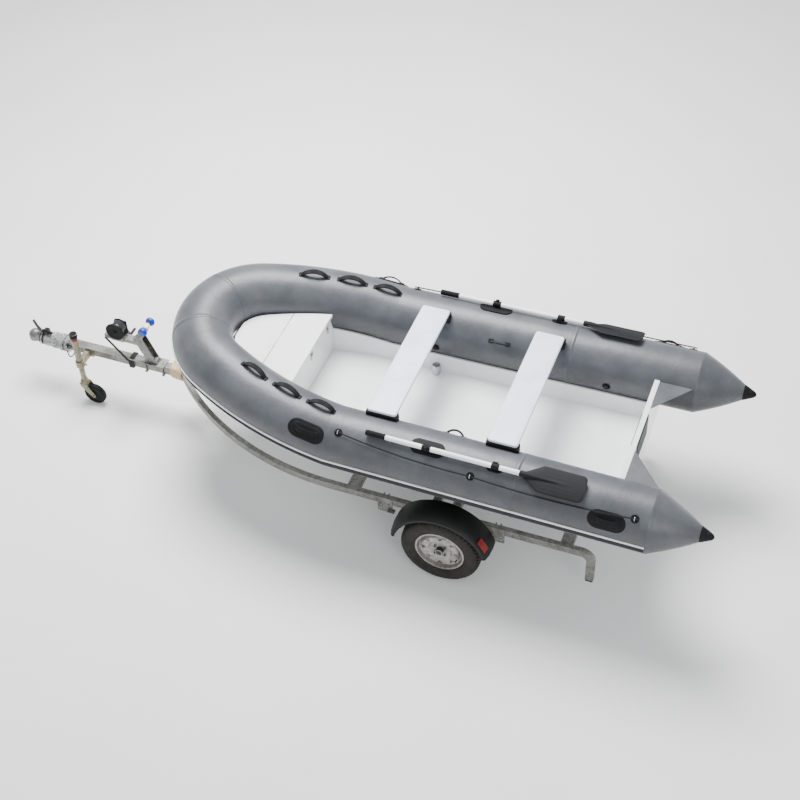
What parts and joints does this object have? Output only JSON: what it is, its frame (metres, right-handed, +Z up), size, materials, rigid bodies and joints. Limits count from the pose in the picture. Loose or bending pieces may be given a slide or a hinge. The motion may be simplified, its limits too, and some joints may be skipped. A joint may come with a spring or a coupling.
{
  "type": "rigid inflatable boat on a road trailer",
  "caption": "Grey inflatable boat with a white rigid hull, thwarts, oars and bow locker, strapped for the road on a galvanised single-axle trailer.",
  "frame": {"origin": "on the ground, under the middle of the object's overall length and width", "axes": "+X forward to the bow and the tow coupling, +Y port, +Z up"},
  "size_m": [5.528, 1.892, 1.2777],
  "materials": {
    "hull_gelcoat": "glossy white moulded gelcoat",
    "thwart_board": "smooth pale blue-white board",
    "tube_fabric": "satin grey coated fabric",
    "cone_rubber": "moulded black rubber",
    "strake_rubber": "matte dark grey extruded rubber",
    "stripe_vinyl": "white stripe",
    "gusset_fabric": "grey coated fabric",
    "fitting_rubber": "moulded black rubber",
    "rope_polyester": "braided black rope",
    "oar_shaft": "white coated tube with dark grey moulded blade",
    "stainless_fitting": "polished stainless steel",
    "galvanised_steel": "hot-dip galvanised, dull with spangle",
    "bunk_carpet": "ribbed dark grey carpet",
    "rim_steel": "galvanised pressed steel",
    "tyre_rubber": "tyre",
    "guard_plastic": "black moulded plastic",
    "reflector_red": "red moulded lens",
    "winch_black": "black coated steel",
    "webbing_black": "woven polyester webbing",
    "roller_blue": "blue moulded polyurethane"
  },
  "bodies": {
    "root": {"hull": "hull_gelcoat", "transom": "hull_gelcoat", "locker_front": "hull_gelcoat", "foredeck": "hull_gelcoat", "motor_pads": "guard_plastic", "bow_tube": "tube_fabric", "port_tube": "tube_fabric", "starboard_tube": "tube_fabric", "stern_cones": "tube_fabric", "cone_caps": "cone_rubber", "rub_strake": "strake_rubber", "rub_stripe": "stripe_vinyl", "transom_gussets": "gusset_fabric", "front_thwart": "thwart_board", "rear_thwart": "thwart_board", "thwart_brackets": "fitting_rubber", "grab_handles": "fitting_rubber", "carry_handles": "fitting_rubber", "inner_straps": "webbing_black", "lifeline_rings": "fitting_rubber", "port_lifeline": "rope_polyester", "starboard_lifeline": "rope_polyester", "air_valves": "fitting_rubber", "deck_fittings": "stainless_fitting", "oar_pads": "fitting_rubber", "port_rail": "galvanised_steel", "starboard_rail": "galvanised_steel", "rail_caps": "guard_plastic", "drawbar": "galvanised_steel", "cross_members": "galvanised_steel", "bunks": "bunk_carpet", "bunk_posts": "galvanised_steel", "axle_beam": "galvanised_steel", "stub_axles": "galvanised_steel", "mudguards": "guard_plastic", "mudguard_brackets": "galvanised_steel", "reflectors": "reflector_red", "winch_post": "galvanised_steel", "winch_frame": "galvanised_steel", "winch_strap": "webbing_black", "coupler": "galvanised_steel", "coupler_lever": "winch_black", "jockey_clamp": "galvanised_steel", "jockey_mast": "galvanised_steel"},
    "locker_lid": {"locker_lid": "hull_gelcoat"},
    "port_oar": {"port_oar": "oar_shaft"},
    "starboard_oar": {"starboard_oar": "oar_shaft"},
    "port_wheel": {"port_wheel": "rim_steel", "port_tyre": "tyre_rubber"},
    "starboard_wheel": {"starboard_wheel": "rim_steel", "starboard_tyre": "tyre_rubber"},
    "winch_drum": {"winch_drum": "winch_black"},
    "bow_roller": {"bow_roller": "roller_blue"},
    "jockey_leg": {"jockey_leg": "galvanised_steel"},
    "jockey_fork": {"jockey_fork": "galvanised_steel"},
    "jockey_wheel": {"jockey_wheel": "tyre_rubber"}
  },
  "joints": [
    {"name": "port_wheel_spin", "type": "hinge", "parent": "root", "child": "port_wheel", "pos_m": [-0.988, 0.8545, 0.2885], "axis": [0, 1, 0], "continuous": true},
    {"name": "starboard_wheel_spin", "type": "hinge", "parent": "root", "child": "starboard_wheel", "pos_m": [-0.988, -0.8545, 0.2885], "axis": [0, 1, 0], "continuous": true},
    {"name": "locker_lid_hinge", "type": "hinge", "parent": "root", "child": "locker_lid", "pos_m": [0.558, 0, 1.0122], "axis": [0, 1, 0], "range_deg": [0, 90]},
    {"name": "port_oar_swing", "type": "hinge", "parent": "root", "child": "port_oar", "pos_m": [-0.84908, 0.74491, 1.11694], "axis": [0.0037, 0.3746, 0.9272], "range_deg": [-100, 0]},
    {"name": "starboard_oar_swing", "type": "hinge", "parent": "root", "child": "starboard_oar", "pos_m": [-0.84908, -0.74491, 1.11694], "axis": [0.0037, -0.3746, 0.9272], "range_deg": [0, 100]},
    {"name": "winch_spin", "type": "hinge", "parent": "root", "child": "winch_drum", "pos_m": [1.918, 0, 0.712], "axis": [0, 1, 0], "continuous": true},
    {"name": "bow_roller_spin", "type": "hinge", "parent": "root", "child": "bow_roller", "pos_m": [1.663, 0, 0.792], "axis": [0, 1, 0], "continuous": true},
    {"name": "jockey_leg_slide", "type": "slide", "parent": "root", "child": "jockey_leg", "axis": [0, 0, 1], "range_m": [0, 0.12]},
    {"name": "jockey_swivel", "type": "hinge", "parent": "jockey_leg", "child": "jockey_fork", "pos_m": [2.218, 0.169, 0.214], "axis": [0, 0, 1], "continuous": true},
    {"name": "jockey_wheel_spin", "type": "hinge", "parent": "jockey_fork", "child": "jockey_wheel", "pos_m": [2.145, 0.169, 0.09], "axis": [0, 1, 0], "continuous": true}
  ]
}
